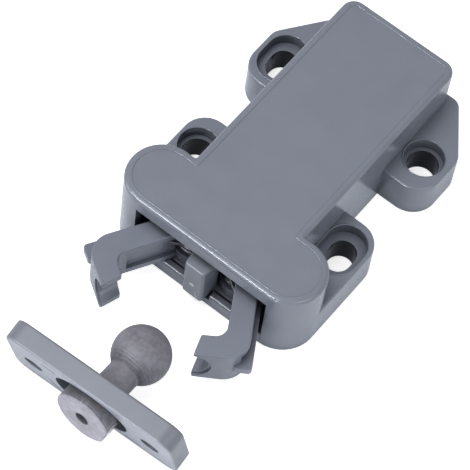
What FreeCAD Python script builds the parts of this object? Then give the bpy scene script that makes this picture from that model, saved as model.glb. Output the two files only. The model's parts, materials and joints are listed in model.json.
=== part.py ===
import FreeCAD, Part
import math
import os

# Cupboard catch latch: a push-to-close claw catch and the ball keeper that goes on the door.
# Millimetres. X = 0 is the centre line, Y = 0 the front face, +Y the rear, Z = 0 the underside.

Vec = FreeCAD.Vector
os.makedirs("parts", exist_ok=True)

# Case
case_height = 15.1
case_length = 51.3
body_half_width = 10.5
head_radius = 5.9
head_overhang = 1.7
head_half_span = body_half_width + head_overhang
rear_corner_radius = 2.25
inner_corner_radius = 0.3
top_edge_radius = 0.75
border_width = 1.1
border_step = 0.08
wall = 1.6
roof = 1.6
mouth_end_reach = 0.3
mouth_half_width = head_half_span + mouth_end_reach
mouth_header = 2.8
mouth_top = case_height - mouth_header
embed = 0.5

# Fixing ears
ear_height = 7.0
ear_edge_radius = 0.4
ear_root = body_half_width - 1.0
front_ear_half_width = head_half_span + head_radius
front_ear_rear = 23.55
front_ear_corner_radius = 4.15
rear_ear_half_width = body_half_width + 7.87
rear_ear_front = case_length - 18.3
rear_ear_corner_radius = 4.3
gusset_outer_y = case_length - 8.85
gusset_outer_radius = 3.0
gusset_inner_x = body_half_width + 1.59
gusset_inner_radius = 2.0
screw_x = body_half_width + 3.57
screw_front_y = 17.65
screw_rear_y = case_length - 12.15
counterbore_depth = 2.0
counterbore_radius = 3.27
counterbore_rim = 0.15
screw_hole_radius = 2.6
slot_counterbore_radius = 3.35
slot_counterbore_travel = 1.2
slot_radius = 2.2
slot_travel = 0.7

# Base cover
cover_thickness = 1.4
cover_ledge = 0.5
cover_gap = 0.05
lip_height = 2.75
lip_depth = 1.4
lip_edge_radius = 0.4
post_y = case_length - 9.3
post_radius = 1.5
post_hole_depth = 5.0

# Slider and its travel
travel = 5.5
slide_gap = 0.3
floor_gap = 0.1
yoke_thickness = 1.2
yoke_front = lip_depth + 0.1
block_front = 9.6
slider_rear = case_length - 20.3
runner_width = 1.0
runner_setback = 2.4
nose_front = -1.3
nose_half_width = 1.85
nose_root_half_width = 2.25
nose_bottom = 1.8
nose_corner_radius = 0.55
nose_edge_radius = 0.3
nose_clearance = 0.3
spine_half_width = 0.85

# Claws
claw_bottom = 2.9
claw_top = mouth_top - 2.1
claw_gap = 0.2
flange_thickness = 1.3
flange_edge_radius = 0.2
rib_thickness = 1.3
pin_radius = 1.0
pin_running_clearance = 0.05
hub_post_radius = pin_radius + 0.9
hub_height = 2.1
hub_radius = 3.4
pivot_x = spine_half_width + hub_radius + 0.25
pivot_y = 5.3
neck_notch_radius = 2.45
neck_notch_rim = 3.1
neck_notch_rim_depth = 0.25
ball_seat_radius = 5.05
closing_angle = 18.0

# Claw springs
torsion_wire_radius = 0.37
torsion_coil_radius = hub_post_radius + torsion_wire_radius + 0.48
torsion_end_turn = 0.157
torsion_closest_pitch = 0.76
torsion_end_gap = 0.15
torsion_leg_gap = 0.05
torsion_web_leg = 4.3

# Return springs
return_wire_radius = 0.3
return_coil_radius = 1.6
return_turns = 14
return_tunnel_radius = return_coil_radius + return_wire_radius + 0.25
return_tunnel_wall = 0.7
return_tunnel_end = block_front + 7.4
return_peg_radius = return_coil_radius - return_wire_radius - 0.25
return_peg_length = 4.0

# Cam wire and its track
cam_wire_radius = 0.45
cam_wire_clearance = 0.05
cam_wire_lift = 0.3
cam_tip_y = post_y - 16.5
cam_tip_gap = 0.25
cam_track_depth = 1.5
cam_track_half_width = 0.85
cam_swing = 1.756
cam_overrun = 0.9
cam_return_x = 4.1
return_half_run = 1.0

# Keeper plate: a bar on its long edge, leaning back
plate_length = 30.25
plate_height = 15.0
plate_thickness = 3.44
plate_corner_radius = 2.5
plate_edge_radius = 0.35
plate_x = 1.76
plate_y = -27.53
plate_yaw = 2.2
plate_lean = 13.8
plate_middle_z = plate_height / 2 * math.cos(math.radians(plate_lean))
recess_radius = 6.5
recess_depth = 1.45
neck_hole_radius = 3.8
plate_screw_offset = 10.74
plate_screw_radius = 1.675
plate_sink_radius = 3.0
plate_sink_depth = 1.3
plate_marks = (
    ((-8.49, 4.56), (-6.10, 4.69)),
    ((-7.96, -3.47), (-6.08, -6.58)),
    ((5.74, -5.33), (8.32, -5.44)),
)
plate_mark_radius = 0.16

# Ball stud: loose in the plate, so its pivot lies a little off the hole's middle
stud_pivot = Vec(plate_x + 0.4, plate_y + 0.67, plate_middle_z - 0.034)
stud_yaw = -0.3
disc_radius = 4.8
disc_thickness = 2.7
disc_edge_radius = 0.25
disc_behind_pivot = 3.29
ball_ahead_of_pivot = 10.5
ball_radius = 4.63
neck_radius = 2.6
drive_radius = 1.2
drive_depth = 1.4
rim_flat_radius = disc_radius - 0.55
rim_flat_edge = 1.48
rim_flat_turn = 10.0


def box(x0, x1, y0, y1, z0, z1):
    return Part.makeBox(x1 - x0, y1 - y0, z1 - z0, Vec(x0, y0, z0))


def rod(x, y, z0, z1, radius):
    return Part.makeCylinder(radius, z1 - z0, Vec(x, y, z0), Vec(0, 0, 1))


def rod_along_y(x, z, y0, y1, radius):
    return Part.makeCylinder(radius, y1 - y0, Vec(x, y0, z), Vec(0, 1, 0))


def rod_between(start, end, radius):
    along = end - start
    return Part.makeCylinder(radius, along.Length, start, along)


def plan(corners, z0, z1):
    # Extrudes an outline of straight sides, with an arc at each corner (x, y, radius).
    bends = []
    for index, (x, y, radius) in enumerate(corners):
        corner = Vec(x, y, z0)
        before = (Vec(*corners[index - 1][:2], z0) - corner).normalize()
        after = (Vec(*corners[(index + 1) % len(corners)][:2], z0) - corner).normalize()
        half_angle = before.getAngle(after) / 2
        reach = radius / math.tan(half_angle)
        inward = (before + after).normalize() * (radius / math.sin(half_angle) - radius)
        bends.append((corner + before * reach, corner + inward, corner + after * reach))
    edges = []
    for index, (start, middle, end) in enumerate(bends):
        if (end - start).Length > 1e-6:
            edges.append(Part.Arc(start, middle, end).toShape())
        following = bends[(index + 1) % len(bends)][0]
        if (following - end).Length > 1e-6:
            edges.append(Part.makeLine(end, following))
    return Part.Face(Part.Wire(edges)).extrude(Vec(0, 0, z1 - z0))


def slot(start, end, z0, z1, radius):
    along = Vec(end[0] - start[0], end[1] - start[1], 0)
    middle = box(0, along.Length, -radius, radius, z0, z1)
    middle.rotate(Vec(0, 0, 0), Vec(0, 0, 1), math.degrees(math.atan2(along.y, along.x)))
    middle.translate(Vec(start[0], start[1], 0))
    return middle.fuse([rod(*start, z0, z1, radius), rod(*end, z0, z1, radius)])


def mirrored(shape):
    return shape.mirror(Vec(0, 0, 0), Vec(1, 0, 0))


def round_edges(shape, radius, wanted):
    return shape.makeFillet(radius, [edge for edge in shape.Edges if wanted(edge)])


def level_at(*heights):
    def test(edge):
        bounds = edge.BoundBox
        return bounds.ZLength < 1e-3 and any(abs(bounds.ZMin - height) < 1e-3 for height in heights)
    return test


def save(name, shape):
    solid = shape.removeSplitter()
    if solid.ShapeType != "Solid" and len(solid.Solids) == 1:
        solid = solid.Solids[0]
    solid.exportStep("parts/" + name + ".step")
    print(name, "solids", len(solid.Solids), "valid", solid.isValid(), "volume", round(solid.Volume, 1))


def case_outline(inset, z0, z1):
    # Plan of the case: a wide round-ended head and a narrower body behind it.
    end = head_half_span + head_radius - inset
    round_end = head_radius - inset
    head_rear = 2 * head_radius - inset
    side = body_half_width - inset
    rear = case_length - inset
    rear_corner = max(rear_corner_radius - inset, inner_corner_radius)
    return plan(
        [
            (-end, inset, round_end),
            (end, inset, round_end),
            (end, head_rear, round_end),
            (side, head_rear, inner_corner_radius),
            (side, rear, rear_corner),
            (-side, rear, rear_corner),
            (-side, head_rear, inner_corner_radius),
            (-end, head_rear, round_end),
        ],
        z0,
        z1,
    )


# Heights that the case, the slider and the cam wire share
cavity_top = case_height - roof
slider_bottom = cover_thickness + floor_gap
yoke_top_bottom = claw_top + claw_gap
slider_top = yoke_top_bottom + yoke_thickness
slider_half = body_half_width - wall - slide_gap
rear_inside = case_length - wall
return_spring_x = slider_half - return_tunnel_wall - return_tunnel_radius
return_spring_z = (slider_bottom + slider_top) / 2

# Case and its ears
case = case_outline(0, 0, case_height)
case = round_edges(case, top_edge_radius, level_at(case_height))
case = case.cut(case_outline(border_width, case_height - border_step, case_height + 1))

front_ear = plan(
    [
        (ear_root, head_radius, 0),
        (front_ear_half_width, head_radius, 0),
        (front_ear_half_width, front_ear_rear, front_ear_corner_radius),
        (ear_root, front_ear_rear, 0),
    ],
    0,
    ear_height,
)
rear_ear = plan(
    [
        (ear_root, rear_ear_front, 0),
        (rear_ear_half_width, rear_ear_front, rear_ear_corner_radius),
        (rear_ear_half_width, gusset_outer_y, gusset_outer_radius),
        (gusset_inner_x, case_length, gusset_inner_radius),
        (ear_root - 1, case_length, 0),
    ],
    0,
    ear_height,
)
ears = [round_edges(ear, ear_edge_radius, level_at(ear_height)) for ear in (front_ear, rear_ear)]
case = case.fuse(ears + [mirrored(ear) for ear in ears])

# Ear holes: two round and two slotted, set crosswise, each with a counterbore for the screw's head
counterbore_floor = ear_height - counterbore_depth
rim_step = ear_height - counterbore_rim
above = ear_height + 1
for x, y in ((-screw_x, screw_front_y), (screw_x, screw_rear_y)):
    case = case.cut(
        [
            rod(x, y, -1, above, screw_hole_radius),
            rod(x, y, counterbore_floor, above, counterbore_radius),
            rod(x, y, rim_step, above, counterbore_radius + counterbore_rim),
        ]
    )
for x, y in ((screw_x, screw_front_y), (-screw_x, screw_rear_y)):
    wide_ends = ((x, y - slot_counterbore_travel), (x, y + slot_counterbore_travel))
    case = case.cut(
        [
            slot((x, y - slot_travel), (x, y + slot_travel), -1, above, slot_radius),
            slot(*wide_ends, counterbore_floor, above, slot_counterbore_radius),
            slot(*wide_ends, rim_step, above, slot_counterbore_radius + counterbore_rim),
        ]
    )

hollow = case_outline(wall, -1, cavity_top)
cover_seat = case_outline(wall - cover_ledge, -1, cover_thickness)
mouth = box(-mouth_half_width, mouth_half_width, -1, wall + embed, -1, mouth_top)
case = case.cut([hollow, cover_seat, mouth])
for side in (-1, 1):
    peg_ends = (rear_inside - return_peg_length, rear_inside + embed)
    case = case.fuse(rod_along_y(side * return_spring_x, return_spring_z, *peg_ends, return_peg_radius))
save("housing", case)

# Base cover: closes the underside, its front lip is the lower edge of the mouth
lip_half = mouth_half_width - cover_gap
cover = case_outline(wall - cover_ledge + cover_gap, 0, cover_thickness)
lip = box(-lip_half, lip_half, 0, lip_depth, 0, lip_height)
lip = round_edges(lip, lip_edge_radius, level_at(lip_height))
cover = cover.fuse([lip, box(-lip_half, lip_half, lip_depth - embed, wall, 0, cover_thickness)])
notch_half = nose_root_half_width + nose_clearance
notch_floor = nose_bottom - nose_clearance
cover = cover.cut(box(-notch_half, notch_half, -1, lip_depth + cover_gap, notch_floor, lip_height + 1))
post_top = slider_top - 0.2
cover = cover.fuse(rod(0, post_y, embed, post_top, post_radius))
wire_hole_radius = cam_wire_radius + cam_wire_clearance
cover = cover.cut(rod(0, post_y, post_top - post_hole_depth, post_top + 1, wire_hole_radius))
save("base_cover", cover)

# Slider: nose that the ball pushes, two yoke plates for the claws, block with the cam track
yoke_rear = block_front + embed
yoke_low = box(-slider_half, slider_half, yoke_front, yoke_rear, slider_bottom, claw_bottom - claw_gap)
yoke_high = box(-slider_half, slider_half, yoke_front, yoke_rear, yoke_top_bottom, slider_top)
block = box(-slider_half, slider_half, block_front, slider_rear, slider_bottom, slider_top)
spine = box(-spine_half_width, spine_half_width, yoke_front, yoke_rear, slider_bottom, slider_top)
nose_root_y = yoke_front + embed
nose = plan(
    [
        (-nose_half_width, nose_front, nose_corner_radius),
        (nose_half_width, nose_front, nose_corner_radius),
        (nose_root_half_width, nose_root_y, 0),
        (-nose_root_half_width, nose_root_y, 0),
    ],
    nose_bottom,
    claw_top,
)
nose = round_edges(nose, nose_edge_radius, level_at(nose_bottom, claw_top))
slider = block.fuse([yoke_low, yoke_high, spine, nose])
runner_top = cavity_top - slide_gap
runner_front = block_front + runner_setback
tunnel_ends = (return_tunnel_end, slider_rear + 1)
for side in (-1, 1):
    x0, x1 = sorted((side * (slider_half - runner_width), side * slider_half))
    slider = slider.fuse(box(x0, x1, runner_front, slider_rear, slider_top - embed, runner_top))
    tunnel = rod_along_y(side * return_spring_x, return_spring_z, *tunnel_ends, return_tunnel_radius)
    pin_bore = rod(side * pivot_x, pivot_y, slider_bottom - 1, slider_top + 1, pin_radius)
    slider = slider.cut([tunnel, pin_bore])

# Cam track: in along the left lane, held in the notch, out along the right lane
latch_y = cam_tip_y - travel
start_point = (0, cam_tip_y + cam_overrun)
rest_point = (0, cam_tip_y)
held_point = (cam_swing, latch_y)
turning_point = (cam_swing + cam_overrun, latch_y - 0.5)
return_middle_y = (latch_y + cam_tip_y) / 2
return_points = [(cam_return_x, return_middle_y - return_half_run), (cam_return_x, return_middle_y + return_half_run)]
route = [start_point, rest_point, held_point, turning_point] + return_points + [start_point]
held_notch = (cam_swing + cam_overrun, latch_y + 0.75)
track_floor = slider_top - cam_track_depth
for start, end in list(zip(route, route[1:])) + [(turning_point, held_notch)]:
    slider = slider.cut(slot(start, end, track_floor, slider_top + 1, cam_track_half_width))
save("carriage", slider)

# Claw: two flanges on a web, a middle rib outside, a full-height hook, and a hub on the pivot pin.
# The hook reaches from the mouth's end, so its places are set from there, and the root's from the pivot.
reach_x = mouth_half_width
tip_rear = (reach_x - 4.85, -9.1)
tip_front = (reach_x - 3.7, -12.55)
flange_corners = [
    (pivot_x - 0.8, pivot_y - 0.1, 0.5),
    (reach_x - 1.81, -7.0, 1.9),
    (*tip_rear, 0.3),
    (*tip_front, 0.3),
    (reach_x + 3.2, -8.04, 3.9),
    (pivot_x + 4.1, pivot_y - 1.45, 2.0),
    (pivot_x + 2.1, pivot_y + 1.1, 0.8),
    (pivot_x, pivot_y + 1.9, 1.2),
]
web_inner = (pivot_x + 1.52, pivot_y - 2.95)
web_outer = (pivot_x + 2.6, pivot_y - 2.33)
relief_corners = [
    (reach_x - 2.3, -4.94, 0.3),
    (reach_x - 4.0, -5.9, 0),
    (pivot_x - 4.0, pivot_y + 1.0, 0),
    (pivot_x - 4.0, pivot_y + 4.0, 0),
    (reach_x + 6.0, pivot_y + 4.0, 0),
    (reach_x + 6.0, -9.4, 0),
    (reach_x + 0.4, -7.1, 0.8),
    (reach_x - 1.15, -4.5, 1.0),
    (*web_outer, 0.3),
    (*web_inner, 0.3),
]
rib_corners = [
    (reach_x - 4.5, 1.2, 0),
    (reach_x - 1.3, -4.6, 0),
    (reach_x + 0.2, -8.4, 0),
    (reach_x + 1.7, -9.0, 0.5),
    (reach_x + 3.85, -7.65, 0.6),
    (reach_x - 2.1, 2.5, 0.8),
    (reach_x - 4.2, 2.9, 0.5),
]
claw_middle = (claw_bottom + claw_top) / 2
hub_top = claw_bottom + hub_height
relief_bottom = claw_bottom + flange_thickness
relief_top = claw_top - flange_thickness
claw = plan(flange_corners, claw_bottom, claw_top)
claw = round_edges(claw, flange_edge_radius, level_at(claw_bottom, claw_top))
claw = claw.cut(plan(relief_corners, relief_bottom, relief_top))
claw = claw.fuse(
    [
        plan(rib_corners, claw_middle - rib_thickness / 2, claw_middle + rib_thickness / 2),
        rod(pivot_x, pivot_y, claw_bottom, hub_top, hub_radius),
        rod(pivot_x, pivot_y, claw_bottom, claw_top, hub_post_radius),
    ]
)
claw = claw.cut(rod(pivot_x, pivot_y, claw_bottom - 1, claw_top + 1, pin_radius + pin_running_clearance))

# Half-round notch for the ball's neck, its shallow rim on the hook's front face, and the ball's seat
opening_turn = math.radians(closing_angle)
neck_along = Vec(math.sin(opening_turn), -math.cos(opening_turn), 0)
notch_mouth = Vec(tip_front[0] - 0.2, tip_front[1], claw_middle)
face_along = Vec(reach_x + 3.2 - tip_front[0], -8.04 - tip_front[1], 0).normalize()
face_outward = Vec(face_along.y, -face_along.x, 0)
claw = claw.cut(rod_between(notch_mouth - neck_along * 6, notch_mouth + neck_along * 3, neck_notch_radius))
rim_bottom = notch_mouth - face_outward * neck_notch_rim_depth
claw = claw.cut(rod_between(rim_bottom, notch_mouth + face_outward, neck_notch_rim))
held_x = -pivot_x
held_y = nose_front - ball_radius - pivot_y
seat_x = pivot_x + held_x * math.cos(opening_turn) - held_y * math.sin(opening_turn)
seat_y = pivot_y + held_x * math.sin(opening_turn) + held_y * math.cos(opening_turn)
claw = claw.cut(Part.makeSphere(ball_seat_radius, Vec(seat_x, seat_y, claw_middle)))
save("claw_right", claw)
save("claw_left", mirrored(claw))

# Pivot pins, pressed into the yoke plates
pin = rod(pivot_x, pivot_y, slider_bottom + floor_gap, slider_top - floor_gap, pin_radius)
save("pivot_pin_right", pin)
save("pivot_pin_left", mirrored(pin))


def coil(radius, pitch, turns, wire_radius):
    path = Part.makeHelix(pitch, pitch * turns, radius)
    section = Part.Wire(Part.makeCircle(wire_radius, Vec(radius, 0, 0), Vec(0, 1, 0)))
    return Part.Wire(path).makePipeShell([section], True, True)


# Claw springs: coils round the hub posts, one leg against the block, one against the claw's web
spring_bottom = hub_top + torsion_end_gap + torsion_wire_radius
spring_rise = relief_top - torsion_end_gap - torsion_wire_radius - spring_bottom
torsion_turns = int(spring_rise / torsion_closest_pitch - torsion_end_turn) + torsion_end_turn
claw_spring = coil(torsion_coil_radius, spring_rise / torsion_turns, torsion_turns, torsion_wire_radius)
claw_spring.rotate(Vec(0, 0, 0), Vec(0, 0, 1), 180)
claw_spring.translate(Vec(pivot_x, pivot_y, spring_bottom))
leg_start = Vec(pivot_x - torsion_coil_radius, pivot_y, spring_bottom)
rear_leg_end = Vec(leg_start.x, block_front - torsion_leg_gap, spring_bottom)
rear_leg = rod_between(leg_start, rear_leg_end, torsion_wire_radius)
coil_end = math.pi * (1 + 2 * torsion_end_turn)
web_leg_start = Vec(
    pivot_x + torsion_coil_radius * math.cos(coil_end),
    pivot_y + torsion_coil_radius * math.sin(coil_end),
    spring_bottom + spring_rise,
)
web_leg_end = web_leg_start + Vec(-math.sin(coil_end), math.cos(coil_end), 0) * torsion_web_leg
claw_spring = claw_spring.fuse([rear_leg, rod_between(web_leg_start, web_leg_end, torsion_wire_radius)])
save("claw_spring_right", claw_spring)
save("claw_spring_left", mirrored(claw_spring))

# Return springs, from the blind ends of the slider's tunnels to the case's rear wall
free_run = rear_inside - return_tunnel_end - 2 * return_wire_radius
return_spring = coil(return_coil_radius, free_run / return_turns, return_turns, return_wire_radius)
return_spring.rotate(Vec(0, 0, 0), Vec(1, 0, 0), -90)
return_spring.translate(Vec(return_spring_x, return_tunnel_end + return_wire_radius, return_spring_z))
save("return_spring_right", return_spring)
save("return_spring_left", mirrored(return_spring))

# Cam wire: turns in the cover's post, its bent tip runs in the slider's track
wire_z = slider_top + cam_wire_radius + cam_wire_lift
wire_points = [
    Vec(0, post_y, post_top - post_hole_depth + 0.4),
    Vec(0, post_y, wire_z),
    Vec(0, cam_tip_y, wire_z),
    Vec(0, cam_tip_y, track_floor + cam_tip_gap),
]
cam_wire = rod_between(wire_points[0], wire_points[1], cam_wire_radius)
for start, end in zip(wire_points[1:], wire_points[2:]):
    bend = Part.makeSphere(cam_wire_radius, start)
    cam_wire = cam_wire.fuse([rod_between(start, end, cam_wire_radius), bend])
save("cam_follower", cam_wire)

# Keeper plate, built flat about the middle of its back face and then leant back
plate = plan(
    [
        (side * plate_length / 2, level * plate_height / 2, plate_corner_radius)
        for side, level in ((-1, -1), (1, -1), (1, 1), (-1, 1))
    ],
    -plate_thickness,
    0,
)
plate = round_edges(plate, plate_edge_radius, level_at(-plate_thickness, 0))
for start, end in plate_marks:
    plate = plate.cut(slot(start, end, -plate_mark_radius, 1, plate_mark_radius))
plate = plate.cut(
    [rod(0, 0, -recess_depth, 1, recess_radius), rod(0, 0, -plate_thickness - 1, 1, neck_hole_radius)]
)
for side in (-1, 1):
    x = side * plate_screw_offset
    sink_bottom = Vec(x, 0, plate_sink_depth - plate_thickness)
    sink = Part.makeCone(plate_screw_radius, plate_sink_radius, plate_sink_depth, sink_bottom, Vec(0, 0, -1))
    plate = plate.cut([rod(x, 0, -plate_thickness - 1, 1, plate_screw_radius), sink])
turn = FreeCAD.Rotation(Vec(0, 0, 1), plate_yaw).multiply(FreeCAD.Rotation(Vec(1, 0, 0), plate_lean + 90))
plate.Placement = FreeCAD.Placement(Vec(plate_x, plate_y, plate_middle_z), turn)
save("keeper_plate", plate)

# Ball stud: disc behind, neck through the plate's hole, ball in front, turned from one profile
disc_back = -disc_behind_pivot
disc_front = disc_back + disc_thickness
neck_end = ball_ahead_of_pivot - math.sqrt(ball_radius ** 2 - neck_radius ** 2)
ball_side = Vec(ball_radius, ball_ahead_of_pivot, 0)
ball_end = Vec(0, ball_ahead_of_pivot + ball_radius, 0)
disc_outline = [
    Vec(0, disc_back, 0),
    Vec(disc_radius, disc_back, 0),
    Vec(disc_radius, disc_front, 0),
    Vec(neck_radius, disc_front, 0),
    Vec(neck_radius, neck_end, 0),
]
profile = [Part.makeLine(start, end) for start, end in zip(disc_outline, disc_outline[1:])]
profile.append(Part.Arc(disc_outline[-1], ball_side, ball_end).toShape())
profile.append(Part.makeLine(ball_end, disc_outline[0]))
stud = Part.Face(Part.Wire(profile)).revolve(Vec(0, 0, 0), Vec(0, 1, 0), 360)
disc_rims = [edge for edge in stud.Edges if edge.Length > math.pi * (disc_radius + neck_radius)]
stud = stud.makeFillet(disc_edge_radius, disc_rims)
rim_flat = box(rim_flat_radius, disc_radius + 1, disc_back - 1, disc_front, -disc_radius, rim_flat_edge)
rim_flat.rotate(Vec(0, 0, 0), Vec(0, 1, 0), rim_flat_turn)
stud = stud.cut([rod_along_y(0, 0, disc_back - 1, disc_back + drive_depth, drive_radius), rim_flat])
stud.Placement = FreeCAD.Placement(stud_pivot, FreeCAD.Rotation(Vec(0, 0, 1), stud_yaw))
save("ball_stud", stud)
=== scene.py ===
import json
import math

import bmesh
import bpy
from mathutils import Matrix, Vector


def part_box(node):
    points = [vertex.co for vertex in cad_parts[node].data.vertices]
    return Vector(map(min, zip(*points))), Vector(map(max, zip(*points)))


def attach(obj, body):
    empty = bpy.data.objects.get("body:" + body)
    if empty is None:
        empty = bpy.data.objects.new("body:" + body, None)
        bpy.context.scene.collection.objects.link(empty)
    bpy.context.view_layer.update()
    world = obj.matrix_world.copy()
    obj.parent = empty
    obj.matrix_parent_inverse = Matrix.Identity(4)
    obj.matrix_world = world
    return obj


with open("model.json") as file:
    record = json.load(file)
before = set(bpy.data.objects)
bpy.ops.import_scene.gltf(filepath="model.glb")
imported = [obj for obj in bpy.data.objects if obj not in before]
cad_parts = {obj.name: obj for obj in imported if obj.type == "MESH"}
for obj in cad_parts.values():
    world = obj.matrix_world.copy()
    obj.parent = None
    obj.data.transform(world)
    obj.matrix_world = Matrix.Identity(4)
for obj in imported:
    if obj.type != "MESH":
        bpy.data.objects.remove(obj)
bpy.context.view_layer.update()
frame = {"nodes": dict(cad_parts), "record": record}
nodes = frame["nodes"]
scene = bpy.context.scene
scene.view_settings.view_transform = "Standard"

# Camera: a long lens high over the catch's right front corner, looking down at about 60 degrees,
# as a catalogue picture is taken.
camera_data = bpy.data.cameras.new("camera")
camera_data.sensor_width = 36.0
camera_data.lens = 212.5
camera_data.clip_start = 0.05
camera_data.clip_end = 10.0
camera = bpy.data.objects.new("camera", camera_data)
camera.location = (0.104646, -0.171502, 0.376373)
camera.rotation_euler = [math.radians(angle) for angle in (29.1256, -4.5780, 38.2432)]
scene.collection.objects.link(camera)
scene.camera = camera

# Floor: a plain white sheet under the parts. The camera finds it white, reflections find it dimmer
# and a little blue, and it keeps a faint shadow where the parts stand.
floor_gap = 0.0002
seen_glow = 0.72
mirrored_glow = 0.3
floor_mesh = bmesh.new()
bmesh.ops.create_grid(floor_mesh, x_segments=1, y_segments=1, size=1.5)
floor_data = bpy.data.meshes.new("floor")
floor_mesh.to_mesh(floor_data)
floor_mesh.free()
floor = bpy.data.objects.new("floor", floor_data)
floor.location = (0, 0, -floor_gap)
scene.collection.objects.link(floor)
floor_paint = bpy.data.materials.new("floor_paint")
floor_paint.use_nodes = True
floor_nodes = floor_paint.node_tree.nodes
floor_links = floor_paint.node_tree.links
floor_shader = floor_nodes["Principled BSDF"]
floor_shader.inputs["Base Color"].default_value = (0.93, 0.93, 0.94, 1)
floor_shader.inputs["Roughness"].default_value = 0.9
floor_shader.inputs["Specular IOR Level"].default_value = 0.1


def seen_and_mirrored(tree):
    path = tree.nodes.new("ShaderNodeLightPath")
    mirrored = tree.nodes.new("ShaderNodeMath")
    mirrored.operation = "MAXIMUM"
    tree.links.new(path.outputs["Is Glossy Ray"], mirrored.inputs[0])
    tree.links.new(path.outputs["Is Transmission Ray"], mirrored.inputs[1])
    return path.outputs["Is Camera Ray"], mirrored.outputs[0]


floor_seen, floor_mirrored = seen_and_mirrored(floor_paint.node_tree)
floor_reflected = floor_nodes.new("ShaderNodeMapRange")
floor_reflected.inputs["To Min"].default_value = 0.0
floor_reflected.inputs["To Max"].default_value = mirrored_glow
floor_links.new(floor_mirrored, floor_reflected.inputs["Value"])
floor_glow = floor_nodes.new("ShaderNodeMath")
floor_glow.operation = "MULTIPLY_ADD"
floor_glow.inputs[1].default_value = seen_glow
floor_links.new(floor_seen, floor_glow.inputs[0])
floor_links.new(floor_reflected.outputs[0], floor_glow.inputs[2])
floor_links.new(floor_glow.outputs[0], floor_shader.inputs["Emission Strength"])
floor_tint = floor_nodes.new("ShaderNodeMix")
floor_tint.data_type = "RGBA"
floor_tint.inputs["A"].default_value = (1, 1, 1, 1)
floor_tint.inputs["B"].default_value = (0.72, 0.84, 1.0, 1)
floor_links.new(floor_mirrored, floor_tint.inputs["Factor"])
floor_links.new(floor_tint.outputs["Result"], floor_shader.inputs["Emission Color"])
floor_data.materials.append(floor_paint)

# Light: an even white studio with soft boxes above, at the right and at the left, a small low one
# in front of the keeper plate, and a narrow strip that only reflections find, which draws the
# bright line along the front edges.
studio = bpy.data.worlds.new("studio")
studio.use_nodes = True
scene.world = studio
studio_nodes = studio.node_tree.nodes
studio_links = studio.node_tree.links
background = studio_nodes["Background"]
background.inputs["Color"].default_value = (1, 1, 1, 1)
studio_seen, studio_mirrored = seen_and_mirrored(studio.node_tree)
studio_shown = studio_nodes.new("ShaderNodeMath")
studio_shown.operation = "MAXIMUM"
studio_links.new(studio_seen, studio_shown.inputs[0])
studio_links.new(studio_mirrored, studio_shown.inputs[1])
studio_level = studio_nodes.new("ShaderNodeMapRange")
studio_level.inputs["To Min"].default_value = 0.30
studio_level.inputs["To Max"].default_value = 1.0
studio_links.new(studio_shown.outputs[0], studio_level.inputs["Value"])
studio_links.new(studio_level.outputs[0], background.inputs["Strength"])


def soft_box(name, place, aim, size, power):
    lamp = bpy.data.lights.new(name, "AREA")
    lamp.shape = "RECTANGLE"
    lamp.size, lamp.size_y = size
    lamp.energy = power
    lamp_object = bpy.data.objects.new(name, lamp)
    lamp_object.location = place
    lamp_object.rotation_euler = (Vector(aim) - Vector(place)).to_track_quat("-Z", "Y").to_euler()
    scene.collection.objects.link(lamp_object)
    return lamp_object


soft_box("low_soft_box", (0.01, -0.09, 0.012), aim=(0, -0.027, 0.007), size=(0.06, 0.02), power=0.036)
soft_box("right_soft_box", (0.50, -0.12, 0.34), aim=(0, 0.01, 0.01), size=(0.40, 0.30), power=0.9)
soft_box("key_soft_box", (-0.15, -0.10, 0.58), aim=(0, 0.01, 0.01), size=(0.30, 0.30), power=1.4)
soft_box("left_soft_box", (-0.30, -0.22, 0.12), aim=(0, -0.01, 0.007), size=(0.20, 0.20), power=0.40)
edge_strip = soft_box("edge_strip", (-0.16, -0.42, 0.48), aim=(0, 0, 0.015), size=(0.45, 0.12), power=4.5)
edge_strip.visible_diffuse = False


# Case: the injection-moulded shell in grey plastic, satin on top and glossy on its polished side
# walls, with four ears for screws. The cover that closes it underneath is the same plastic.
def moulding_grain_group():
    group = bpy.data.node_groups.new("moulding_grain", "ShaderNodeTree")
    face = group.interface
    for name, size in (("Grain Scale", 6000.0), ("Mottle Scale", 250.0), ("Flow Scale", 60.0)):
        face.new_socket(name=name, in_out="INPUT", socket_type="NodeSocketFloat").default_value = size
    for name in ("Grain", "Mottle", "Flow"):
        face.new_socket(name=name, in_out="OUTPUT", socket_type="NodeSocketFloat")
    inside = group.nodes
    links = group.links
    start = inside.new("NodeGroupInput")
    end = inside.new("NodeGroupOutput")
    place = inside.new("ShaderNodeTexCoord")
    for name, detail in (("Grain", 3.0), ("Mottle", 4.0), ("Flow", 2.0)):
        noise = inside.new("ShaderNodeTexNoise")
        noise.inputs["Detail"].default_value = detail
        links.new(place.outputs["Object"], noise.inputs["Vector"])
        links.new(start.outputs[name + " Scale"], noise.inputs["Scale"])
        spread = inside.new("ShaderNodeMapRange")
        spread.inputs["From Min"].default_value = 0.3
        spread.inputs["From Max"].default_value = 0.7
        links.new(noise.outputs["Fac"], spread.inputs["Value"])
        links.new(spread.outputs[0], end.inputs[name])
    return group


moulding_grain = moulding_grain_group()


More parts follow.
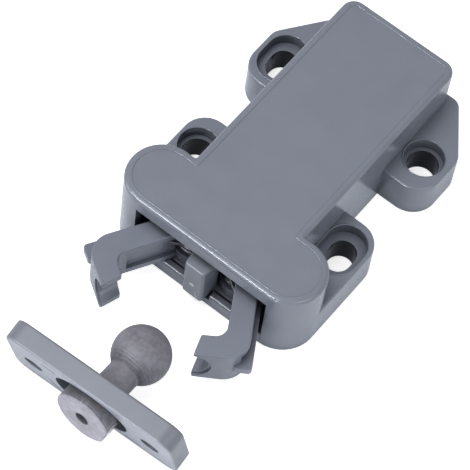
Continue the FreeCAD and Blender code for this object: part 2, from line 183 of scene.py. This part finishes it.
def moulded_plastic(name, colour, side_roughness, top_roughness, grain_depth, variation, painted_shade_reach=0.003):
    mottle_roughness = 0.10
    paint = bpy.data.materials.new(name)
    paint.use_nodes = True
    inside = paint.node_tree.nodes
    links = paint.node_tree.links
    shader = inside["Principled BSDF"]
    shader.inputs["IOR"].default_value = 1.58
    shader.inputs["Specular Tint"].default_value = (0.90, 0.94, 1.0, 1)
    grain = inside.new("ShaderNodeGroup")
    grain.node_tree = moulding_grain
    cloud = inside.new("ShaderNodeMix")
    cloud.inputs["Factor"].default_value = 0.5
    links.new(grain.outputs["Mottle"], cloud.inputs["A"])
    links.new(grain.outputs["Flow"], cloud.inputs["B"])
    tone = inside.new("ShaderNodeMix")
    tone.data_type = "RGBA"
    tone.inputs["A"].default_value = tuple((1 - variation) * part for part in colour) + (1,)
    tone.inputs["B"].default_value = tuple((1 + variation) * part for part in colour) + (1,)
    links.new(cloud.outputs["Result"], tone.inputs["Factor"])
    # Painted shade: the colour is darkened, down to 0.22 of its tone, where ambient occlusion finds hollows,
    # creases and corners within the given reach.
    hollow = inside.new("ShaderNodeAmbientOcclusion")
    hollow.samples = 8
    hollow.inputs["Distance"].default_value = painted_shade_reach
    shade = inside.new("ShaderNodeMapRange")
    shade.inputs["From Min"].default_value = 0.15
    shade.inputs["From Max"].default_value = 0.75
    shade.inputs["To Min"].default_value = 0.22
    shade.inputs["To Max"].default_value = 1.0
    links.new(hollow.outputs["AO"], shade.inputs["Value"])
    shaded = inside.new("ShaderNodeMix")
    shaded.data_type = "RGBA"
    shaded.blend_type = "MULTIPLY"
    shaded.inputs["Factor"].default_value = 1.0
    links.new(tone.outputs["Result"], shaded.inputs["A"])
    links.new(shade.outputs[0], shaded.inputs["B"])
    links.new(shaded.outputs["Result"], shader.inputs["Base Color"])
    facing = inside.new("ShaderNodeNewGeometry")
    apart = inside.new("ShaderNodeSeparateXYZ")
    links.new(facing.outputs["Normal"], apart.inputs[0])
    shine = inside.new("ShaderNodeMapRange")
    shine.inputs["From Min"].default_value = 0.9
    shine.inputs["From Max"].default_value = 0.99
    shine.inputs["To Min"].default_value = side_roughness
    shine.inputs["To Max"].default_value = top_roughness
    links.new(apart.outputs["Z"], shine.inputs["Value"])
    uneven = inside.new("ShaderNodeMath")
    uneven.operation = "MULTIPLY_ADD"
    uneven.inputs[1].default_value = mottle_roughness
    links.new(grain.outputs["Mottle"], uneven.inputs[0])
    links.new(shine.outputs[0], uneven.inputs[2])
    links.new(uneven.outputs[0], shader.inputs["Roughness"])
    bump = inside.new("ShaderNodeBump")
    bump.inputs["Strength"].default_value = grain_depth
    bump.inputs["Distance"].default_value = 0.00003
    links.new(grain.outputs["Grain"], bump.inputs["Height"])
    links.new(bump.outputs["Normal"], shader.inputs["Normal"])
    return paint


def finish_node(name, paint):
    nodes[name].data.materials.clear()
    nodes[name].data.materials.append(paint)


case_grey = moulded_plastic(
    "case_grey", (0.200, 0.220, 0.272), side_roughness=0.10, top_roughness=0.42,
    grain_depth=0.25, variation=0.05, painted_shade_reach=0.0045,
)
finish_node("housing", case_grey)
finish_node("base_cover", case_grey)

# Ear hole walls: painted shade, a near-black colour and less gloss on the walls of the screw holes.
# A mask by place finds them, and the painted shade is weaker in the wide counterbore than in the bore below
# it.
case_nodes = case_grey.node_tree.nodes
case_links = case_grey.node_tree.links
screw_x = 0.01407
screw_front_y = 0.01765
screw_rear_y = 0.03915
slot_travel = 0.0012
ear_top = 0.007
counterbore_floor = 0.005
mask_reach = 0.0038
rim_depth = 0.00005
mask_blend = 0.0001


def case_math(operation, first, second=0.0):
    step = case_nodes.new("ShaderNodeMath")
    step.operation = operation
    case_links.new(first, step.inputs[0])
    if isinstance(second, float):
        step.inputs[1].default_value = second
    else:
        case_links.new(second, step.inputs[1])
    return step.outputs[0]


case_place = case_nodes.new("ShaderNodeTexCoord")
case_axes = case_nodes.new("ShaderNodeSeparateXYZ")
case_links.new(case_place.outputs["Object"], case_axes.inputs[0])
case_facing = case_nodes.new("ShaderNodeNewGeometry")
case_normal = case_nodes.new("ShaderNodeSeparateXYZ")
case_links.new(case_facing.outputs["Normal"], case_normal.inputs[0])
across_hole = case_math("SUBTRACT", case_math("ABSOLUTE", case_axes.outputs["X"]), screw_x)
along_front = case_math("ABSOLUTE", case_math("SUBTRACT", case_axes.outputs["Y"], screw_front_y))
along_rear = case_math("ABSOLUTE", case_math("SUBTRACT", case_axes.outputs["Y"], screw_rear_y))
along_hole = case_math("MINIMUM", along_front, along_rear)
past_slot = case_math("MAXIMUM", case_math("SUBTRACT", along_hole, slot_travel))
hole_vector = case_nodes.new("ShaderNodeCombineXYZ")
case_links.new(across_hole, hole_vector.inputs["X"])
case_links.new(past_slot, hole_vector.inputs["Y"])
hole_distance = case_nodes.new("ShaderNodeVectorMath")
hole_distance.operation = "LENGTH"
case_links.new(hole_vector.outputs[0], hole_distance.inputs[0])
in_hole = case_math("LESS_THAN", hole_distance.outputs["Value"], mask_reach)
under_rim = case_math("LESS_THAN", case_axes.outputs["Z"], ear_top - rim_depth)
upright = case_math("LESS_THAN", case_normal.outputs["Z"], 0.5)
hole_depth = case_nodes.new("ShaderNodeMapRange")
hole_depth.inputs["From Min"].default_value = counterbore_floor
hole_depth.inputs["From Max"].default_value = counterbore_floor - mask_blend
hole_depth.inputs["To Min"].default_value = 0.45
hole_depth.inputs["To Max"].default_value = 1.0
case_links.new(case_axes.outputs["Z"], hole_depth.inputs["Value"])
hole_inside = case_math("MULTIPLY", in_hole, under_rim)
hole_wall = case_math("MULTIPLY", hole_inside, upright)
hole_shade_mask = case_math("MULTIPLY", hole_wall, hole_depth.outputs[0])
# Painted shade: the hole walls' colour is mixed towards near-black.
hole_painted_shade = case_nodes.new("ShaderNodeMix")
hole_painted_shade.data_type = "RGBA"
hole_painted_shade.inputs["B"].default_value = (0.02, 0.019, 0.024, 1)
case_links.new(hole_shade_mask, hole_painted_shade.inputs["Factor"])
case_shader = case_nodes["Principled BSDF"]
case_links.new(case_shader.inputs["Base Color"].links[0].from_socket, hole_painted_shade.inputs["A"])
case_links.new(hole_painted_shade.outputs["Result"], case_shader.inputs["Base Color"])
hole_shine = case_nodes.new("ShaderNodeMapRange")
hole_shine.inputs["To Min"].default_value = 0.5
hole_shine.inputs["To Max"].default_value = 0.06
case_links.new(hole_shade_mask, hole_shine.inputs["Value"])
case_links.new(hole_shine.outputs[0], case_shader.inputs["Specular IOR Level"])


# Border lip: a fine raised line round the case's top, a little inside its edge, moulded in one
# with the case.
def add_piece(name, shape, paint, body):
    bmesh.ops.recalc_face_normals(shape, faces=shape.faces[:])
    data = bpy.data.meshes.new(name)
    shape.to_mesh(data)
    shape.free()
    for face in data.polygons:
        face.use_smooth = True
    data.materials.append(paint)
    piece = bpy.data.objects.new(name, data)
    scene.collection.objects.link(piece)
    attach(piece, body)


case_low, case_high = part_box("housing")
head_half_span = 0.0122
head_radius = 0.0059
body_half_width = 0.0105
rear_corner_radius = 0.00225
border_width = 0.0011
border_step = 0.00008
border_lip_radius = 0.00012
bevel_gap = 0.000001
side = body_half_width - border_width
wing = head_half_span + head_radius - border_width
head_front = case_low.y + border_width
head_rear = case_low.y + 2 * head_radius - border_width
rear = case_high.y - border_width
round_end = head_radius - border_width - bevel_gap
rear_round = rear_corner_radius - border_width
inner_round = 0.0003
border_height = case_high.z - border_step
border_corners = (
    (-wing, head_front, round_end),
    (wing, head_front, round_end),
    (wing, head_rear, round_end),
    (side, head_rear, inner_round),
    (side, rear, rear_round),
    (-side, rear, rear_round),
    (-side, head_rear, inner_round),
    (-wing, head_rear, round_end),
)


def rounded_loop(corners, height):
    flat = bmesh.new()
    verts = [flat.verts.new((x, y, height)) for x, y, radius in corners]
    flat.faces.new(verts)
    for vert, (x, y, radius) in zip(verts, corners):
        bmesh.ops.bevel(
            flat, geom=[vert], offset=radius, offset_type="OFFSET", affect="VERTICES",
            segments=14, profile=0.5, material=-1, clamp_overlap=False,
        )
    flat.faces.ensure_lookup_table()
    points = [loop.vert.co.copy() for loop in flat.faces[0].loops]
    flat.free()
    return points


def tube(points, radius, closed):
    line = bpy.data.curves.new("line", "CURVE")
    line.dimensions = "3D"
    line.bevel_depth = radius
    line.bevel_resolution = 3
    line.use_fill_caps = True
    run = line.splines.new("POLY")
    run.points.add(len(points) - 1)
    for point, place in zip(run.points, points):
        point.co = (*place, 1)
    run.use_cyclic_u = closed
    curve = bpy.data.objects.new("line", line)
    drawn = bpy.data.meshes.new_from_object(curve)
    shape = bmesh.new()
    shape.from_mesh(drawn)
    bmesh.ops.remove_doubles(shape, verts=shape.verts[:], dist=0.0000001)
    bpy.data.objects.remove(curve)
    return shape


border_lip = tube(rounded_loop(border_corners, border_height), border_lip_radius, True)
add_piece("case_border_lip", border_lip, case_grey, "case")

# Ear hole rims: the fine raised edge that the mould leaves round each screw hole's counterbore,
# in the case's own plastic. Two holes are round and two are slots, so that the catch can shift.
rim_radius = 0.00012
round_hole = 0.00342
slot_hole = 0.0035
ear_rims = (
    ("rim_front_left", -screw_x, screw_front_y, round_hole, 0.0),
    ("rim_rear_right", screw_x, screw_rear_y, round_hole, 0.0),
    ("rim_front_right", screw_x, screw_front_y, slot_hole, slot_travel),
    ("rim_rear_left", -screw_x, screw_rear_y, slot_hole, slot_travel),
)
for name, x, y, radius, travel in ear_rims:
    bend = radius - bevel_gap
    rim_corners = (
        (x - radius, y - radius - travel, bend),
        (x + radius, y - radius - travel, bend),
        (x + radius, y + radius + travel, bend),
        (x - radius, y + radius + travel, bend),
    )
    rim = tube(rounded_loop(rim_corners, ear_top), rim_radius, True)
    add_piece(name, rim, case_grey, "case")

# Slider: the same grey in a tougher plastic, satin all over. Its nose shows in the mouth, with
# the raised spot where the plastic was fed in and the thin line of the mould's joint below it,
# both painted pale as a painted highlight on their small relief.
slider_grey = moulded_plastic(
    "slider_grey", (0.235, 0.255, 0.305), side_roughness=0.30, top_roughness=0.40,
    grain_depth=0.25, variation=0.07,
)
finish_node("carriage", slider_grey)
nose_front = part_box("carriage")[0].y
spot_place = (-0.0001, nose_front, 0.0053)
spot_half_size = (0.00046, 0.00016, 0.00032)
joint_top = (0.0007, nose_front, 0.0037)
joint_foot = (0.00105, nose_front, 0.0021)
joint_radius = 0.0001


def add_bead(shape, start, end, radius):
    run = Vector(end) - Vector(start)
    turn = run.to_track_quat("Z", "Y").to_matrix().to_4x4()
    made = bmesh.ops.create_uvsphere(shape, u_segments=20, v_segments=12, radius=radius)["verts"]
    upper = [vert for vert in made if vert.co.z > 0]
    bmesh.ops.translate(shape, verts=upper, vec=(0, 0, run.length))
    bmesh.ops.transform(shape, verts=made, matrix=Matrix.Translation(start) @ turn)


gate_spot = bmesh.new()
spot_verts = bmesh.ops.create_uvsphere(gate_spot, u_segments=24, v_segments=14, radius=1.0)["verts"]
bmesh.ops.scale(gate_spot, verts=spot_verts, vec=spot_half_size)
bmesh.ops.translate(gate_spot, verts=spot_verts, vec=spot_place)
# Painted highlight: the spot and the joint line are pale, standing in for the light they catch.
nose_highlight_plastic = moulded_plastic(
    "nose_highlight_plastic", (0.60, 0.63, 0.68), side_roughness=0.20, top_roughness=0.25,
    grain_depth=0.2, variation=0.08,
)
add_piece("nose_gate_spot", gate_spot, nose_highlight_plastic, "slider")
joint_line = bmesh.new()
add_bead(joint_line, joint_top, joint_foot, joint_radius)
add_piece("nose_joint_line", joint_line, nose_highlight_plastic, "slider")

# Claws: moulded one by one in the slider's plastic, with flanges above and below a web and
# a rib between them. Each turns on a steel pin in the slider.
claw_grey = moulded_plastic(
    "claw_grey", (0.190, 0.208, 0.260), side_roughness=0.24, top_roughness=0.38,
    grain_depth=0.25, variation=0.06, painted_shade_reach=0.004,
)
for name in ("claw_right", "claw_left"):
    finish_node(name, claw_grey)


# Pivot pins: ground steel, pressed into the slider's two plates. The cam wire that latches the
# slider is bright drawn wire, bent at both ends.
def steel(name, colour, low_roughness, high_roughness, grain_scale):
    paint = bpy.data.materials.new(name)
    paint.use_nodes = True
    inside = paint.node_tree.nodes
    links = paint.node_tree.links
    shader = inside["Principled BSDF"]
    shader.inputs["Metallic"].default_value = 1.0
    grain = inside.new("ShaderNodeGroup")
    grain.node_tree = moulding_grain
    grain.inputs["Mottle Scale"].default_value = grain_scale
    tone = inside.new("ShaderNodeMix")
    tone.data_type = "RGBA"
    tone.inputs["A"].default_value = tuple(0.8 * part for part in colour) + (1,)
    tone.inputs["B"].default_value = tuple(1.2 * part for part in colour) + (1,)
    links.new(grain.outputs["Flow"], tone.inputs["Factor"])
    links.new(tone.outputs["Result"], shader.inputs["Base Color"])
    rough = inside.new("ShaderNodeMapRange")
    rough.inputs["To Min"].default_value = low_roughness
    rough.inputs["To Max"].default_value = high_roughness
    links.new(grain.outputs["Mottle"], rough.inputs["Value"])
    links.new(rough.outputs[0], shader.inputs["Roughness"])
    scratch = inside.new("ShaderNodeBump")
    scratch.inputs["Strength"].default_value = 0.15
    scratch.inputs["Distance"].default_value = 0.00001
    links.new(grain.outputs["Mottle"], scratch.inputs["Height"])
    links.new(scratch.outputs["Normal"], shader.inputs["Normal"])
    return paint


bright_steel = steel(
    "bright_steel", (0.45, 0.45, 0.46), low_roughness=0.22, high_roughness=0.40, grain_scale=1200.0,
)
for name in ("pivot_pin_right", "pivot_pin_left", "cam_follower"):
    finish_node(name, bright_steel)

# Springs: dark oil-tempered wire, two torsion springs on the claws' pins and two compression
# springs behind the slider.
spring_steel = steel(
    "spring_steel", (0.06, 0.063, 0.07), low_roughness=0.28, high_roughness=0.45, grain_scale=900.0,
)
for name in ("claw_spring_right", "claw_spring_left", "return_spring_right", "return_spring_left"):
    finish_node(name, spring_steel)

# Keeper plate: a paler satin moulding that is screwed to the door, with a round recess in its
# back for the stud's disc.
keeper_grey = moulded_plastic(
    "keeper_grey", (0.172, 0.183, 0.220), side_roughness=0.34, top_roughness=0.44,
    grain_depth=0.3, variation=0.05, painted_shade_reach=0.0045,
)
finish_node("keeper_plate", keeper_grey)


# Ball stud: a darker grey plastic turned to a ball, with fine turning lines round it. Its disc
# has a raised lip beside the flat of its rim, painted pale as a painted highlight, a near-black
# bead under it that is painted shadow, and the mould's joint over the rim's top, painted pale too.
def turned_plastic(name, colour, axis_place, line_scale):
    paint = moulded_plastic(
        name, colour, side_roughness=0.50, top_roughness=0.60,
        grain_depth=0.5, variation=0.34, painted_shade_reach=0.0055,
    )
    inside = paint.node_tree.nodes
    grain = next(node for node in inside if node.type == "GROUP")
    grain.inputs["Mottle Scale"].default_value = 1400.0
    grain.inputs["Flow Scale"].default_value = 350.0
    links = paint.node_tree.links
    place = inside.new("ShaderNodeTexCoord")
    centred = inside.new("ShaderNodeMapping")
    centred.inputs["Location"].default_value = tuple(-part for part in axis_place)
    links.new(place.outputs["Object"], centred.inputs["Vector"])
    lines = inside.new("ShaderNodeTexWave")
    lines.wave_type = "BANDS"
    lines.bands_direction = "Y"
    lines.inputs["Scale"].default_value = line_scale
    lines.inputs["Distortion"].default_value = 3.5
    lines.inputs["Detail"].default_value = 2.0
    links.new(centred.outputs["Vector"], lines.inputs["Vector"])
    grain_bump = next(node for node in inside if node.type == "BUMP")
    line_bump = inside.new("ShaderNodeBump")
    line_bump.inputs["Strength"].default_value = 0.6
    line_bump.inputs["Distance"].default_value = 0.00004
    links.new(lines.outputs["Fac"], line_bump.inputs["Height"])
    links.new(grain_bump.outputs["Normal"], line_bump.inputs["Normal"])
    links.new(line_bump.outputs["Normal"], inside["Principled BSDF"].inputs["Normal"])
    return paint


stud_joint = next(joint for joint in frame["record"]["behaviour"]["joints"] if joint["name"] == "stud_tilt")
stud_pivot = Vector(stud_joint["pos_m"])
stud_grey = turned_plastic("stud_grey", (0.212, 0.206, 0.242), stud_pivot, line_scale=780.0)
finish_node("ball_stud", stud_grey)
disc_radius = 0.0048
lip_radius = 0.00016
shadow_bead_radius = 0.00011
shadow_bead_sink = 0.00002
rim_joint_angle = 96
rim_joint_radius = 0.00006


def rim_point(angle, along, radius):
    turn = math.radians(angle)
    return stud_pivot + Vector((radius * math.cos(turn), along, radius * math.sin(turn)))


# Painted highlight: the raised lip is pale so that it reads as the bright line along the rim's flat.
lip_run = ((8.5, -0.0031), (11.5, -0.0029), (14, -0.0024), (15.5, -0.0018), (15, -0.0012), (13.5, -0.0007))
rim_lip = tube([rim_point(angle, along, disc_radius) for angle, along in lip_run], lip_radius, False)
lip_highlight_plastic = moulded_plastic(
    "lip_highlight_plastic", (0.48, 0.48, 0.52), side_roughness=0.20, top_roughness=0.25,
    grain_depth=0.2, variation=0.06,
)
add_piece("stud_rim_lip", rim_lip, lip_highlight_plastic, "stud")
# Painted shadow: a near-black bead sunk into the rim beside the lip, standing for the gap beneath it.
shadow_bead_run = ((8.5, -0.0027), (11, -0.0022), (12, -0.0016), (11, -0.001))
shadow_bead_points = [rim_point(angle, along, disc_radius - shadow_bead_sink) for angle, along in shadow_bead_run]
rim_shadow_bead = tube(shadow_bead_points, shadow_bead_radius, False)
painted_shadow_plastic = moulded_plastic(
    "painted_shadow_plastic", (0.03, 0.028, 0.03), side_roughness=0.60, top_roughness=0.65,
    grain_depth=0.2, variation=0.06,
)
add_piece("stud_rim_painted_shadow", rim_shadow_bead, painted_shadow_plastic, "stud")
# Painted highlight: the joint line on the rim's top is in the same pale paint.
rim_joint_start = rim_point(rim_joint_angle, -0.0032, disc_radius)
rim_joint_end = rim_point(rim_joint_angle, -0.0024, disc_radius)
rim_joint = bmesh.new()
add_bead(rim_joint, rim_joint_start, rim_joint_end, rim_joint_radius)
add_piece("stud_rim_joint_line", rim_joint, lip_highlight_plastic, "stud")
